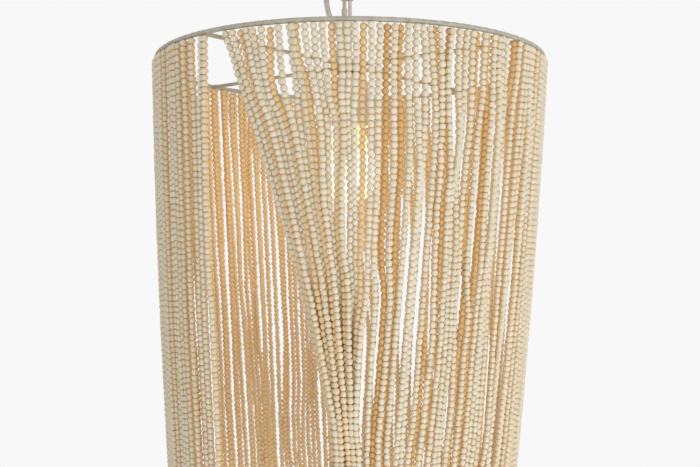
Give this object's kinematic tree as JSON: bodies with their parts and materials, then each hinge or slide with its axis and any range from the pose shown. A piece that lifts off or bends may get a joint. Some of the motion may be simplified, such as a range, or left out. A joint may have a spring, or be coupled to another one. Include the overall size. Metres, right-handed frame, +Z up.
{
  "type": "beaded chandelier",
  "caption": "Cable-hung drum pendant: a round hoop carries a dense curtain of wooden bead strands, swept aside at the front, round one bulb.",
  "frame": {"origin": "centre of the mounting plate's top face, against the ceiling", "axes": "+Z up, -Y towards the front where the strands are swept aside, +X to the right of someone facing it"},
  "size_m": [0.4307, 0.4348, 0.6408],
  "materials": {
    "paint": "satin off-white paint",
    "steel": "satin",
    "cable_sleeve": "smooth cream",
    "cord_plastic": "smooth pale grey",
    "dark_plastic": "dark matte",
    "porcelain": "glazed white",
    "brass": "bright",
    "glass": "lit warm white",
    "beads": "whitewashed wood",
    "thread": "twisted thread"
  },
  "bodies": {
    "canopy": {"mounting_plate": "steel", "canopy_shell": "paint", "hanger_nipple": "steel", "collar_nut": "paint", "cord_grommet": "dark_plastic", "terminal_block": "porcelain"},
    "swivel": {"cable_ball": "steel"},
    "pendant": {"suspension_cable": "steel", "safety_cable": "cable_sleeve", "safety_sleeve": "cable_sleeve", "cable_clamp": "steel", "strain_relief": "cord_plastic", "power_cord": "cord_plastic", "hub": "paint", "set_screw": "dark_plastic", "top_hoop": "paint", "lower_hoop": "paint", "arm_front_left": "paint", "arm_front_right": "paint", "arm_back_right": "paint", "arm_back_left": "paint", "socket_stem": "steel", "socket_cup": "paint", "lamp_holder": "porcelain", "bead_curtain_01": "beads", "bead_curtain_02": "beads", "bead_curtain_03": "beads", "bead_curtain_04": "beads", "bead_curtain_05": "beads", "bead_curtain_06": "beads", "bead_curtain_07": "beads", "bead_curtain_08": "beads", "bead_curtain_09": "beads", "bead_curtain_10": "beads", "bead_curtain_11": "beads", "bead_curtain_12": "beads", "bead_curtain_13": "beads", "bead_curtain_14": "beads", "bead_curtain_15": "beads", "bead_curtain_16": "beads", "bead_curtain_17": "beads", "bead_curtain_18": "beads", "bead_curtain_19": "beads", "bead_curtain_20": "beads", "bead_curtain_21": "beads", "bead_curtain_22": "beads", "bead_curtain_23": "beads", "bead_curtain_24": "beads", "swept_strands_1": "beads", "swept_strands_2": "beads", "swept_strands_3": "beads", "swept_strands_4": "beads", "swept_strands_5": "beads", "drape_tie": "thread"},
    "bulb": {"bulb_base": "brass", "bulb_glass": "glass"}
  },
  "joints": [
    {"name": "pendant_swing_x", "type": "hinge", "parent": "canopy", "child": "swivel", "pos_m": [0, 0, -0.026], "axis": [1, 0, 0], "range_deg": [-10, 10]},
    {"name": "pendant_swing_y", "type": "hinge", "parent": "swivel", "child": "pendant", "pos_m": [0, 0, -0.026], "axis": [0, 1, 0], "range_deg": [-10, 10]},
    {"name": "bulb_release", "type": "slide", "parent": "pendant", "child": "bulb", "axis": [0, 0, -1], "range_m": [0, 0.035]}
  ]
}
